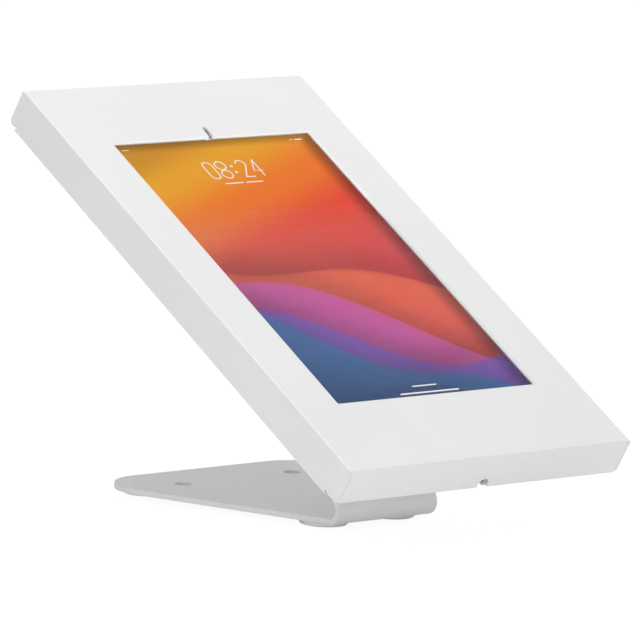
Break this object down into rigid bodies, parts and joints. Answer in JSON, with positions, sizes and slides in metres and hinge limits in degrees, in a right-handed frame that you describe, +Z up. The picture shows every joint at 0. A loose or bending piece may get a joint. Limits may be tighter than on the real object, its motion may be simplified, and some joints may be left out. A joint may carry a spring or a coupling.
{
  "type": "tablet security kiosk stand",
  "caption": "Desk kiosk stand for a tablet: bent steel foot and arm, friction swivel, and a hinged, key-locked sheet-steel case with a screen window and cable notch.",
  "frame": {"origin": "on the table, below the middle of the object's outer box", "axes": "+X to the user's right, +Y away from the user towards the rear of the foot plate, +Z up"},
  "size_m": [0.195, 0.289, 0.2116],
  "materials": {
    "white_powder_coat": "satin powder coat",
    "grey_rubber": "matte",
    "zinc_plated_steel": "bright zinc plate",
    "spring_steel": "oiled",
    "nylon": "matte",
    "black_plastic": "fine texture",
    "black_foam": "open foam",
    "white_foam": "closed foam",
    "tablet_aluminium": "anodised",
    "lit_display": "lit screen",
    "lens_black": "polished",
    "tablet_glass": "polished",
    "lock_chrome": "polished"
  },
  "bodies": {
    "stand": {"stand_plate": "white_powder_coat", "foot_front_left": "grey_rubber", "foot_front_right": "grey_rubber", "foot_rear_left": "grey_rubber", "foot_rear_right": "grey_rubber", "front_friction_washer": "nylon", "rear_friction_washer": "nylon"},
    "case": {"swivel_plate": "white_powder_coat", "swivel_bolt": "zinc_plated_steel", "pressure_washer": "zinc_plated_steel", "spring_washer": "spring_steel", "swivel_nut": "zinc_plated_steel", "stop_pin": "zinc_plated_steel", "plate_screws": "zinc_plated_steel", "clinch_nuts": "zinc_plated_steel", "rear_tray": "white_powder_coat", "bracket_top_left": "black_plastic", "bracket_top_right": "black_plastic", "bracket_bottom_left": "black_plastic", "bracket_bottom_right": "black_plastic", "bracket_screws": "zinc_plated_steel", "foam_pad_upper": "black_foam", "foam_pad_lower": "black_foam", "tablet_shell": "tablet_aluminium", "tablet_display": "lit_display", "tablet_camera": "lens_black", "tablet_glass": "tablet_glass", "tray_hinge_leaf_left": "zinc_plated_steel", "tray_hinge_leaf_right": "zinc_plated_steel", "hinge_pin_left": "spring_steel", "hinge_pin_right": "spring_steel", "lock_body": "lock_chrome", "lock_nut": "zinc_plated_steel"},
    "cover": {"front_cover": "white_powder_coat", "window_seal": "white_foam", "cover_hinge_leaf_left": "zinc_plated_steel", "cover_hinge_leaf_right": "zinc_plated_steel", "lock_keeper": "zinc_plated_steel"},
    "lock_core": {"lock_plug": "lock_chrome", "lock_cam": "zinc_plated_steel", "cam_screw": "zinc_plated_steel"}
  },
  "joints": [
    {"name": "case_swivel", "type": "hinge", "parent": "stand", "child": "case", "pos_m": [0, 0.00607, 0.11151], "axis": [0, -0.5, 0.866], "range_deg": [-90, 90]},
    {"name": "cover_hinge", "type": "hinge", "parent": "case", "child": "cover", "pos_m": [0, 0.14072, 0.19219], "axis": [-1, 0, 0], "range_deg": [0, 80]},
    {"name": "lock_turn", "type": "hinge", "parent": "case", "child": "lock_core", "pos_m": [0.06, -0.11431, 0.04201], "axis": [0, 0.5, -0.866], "range_deg": [0, 90]}
  ]
}
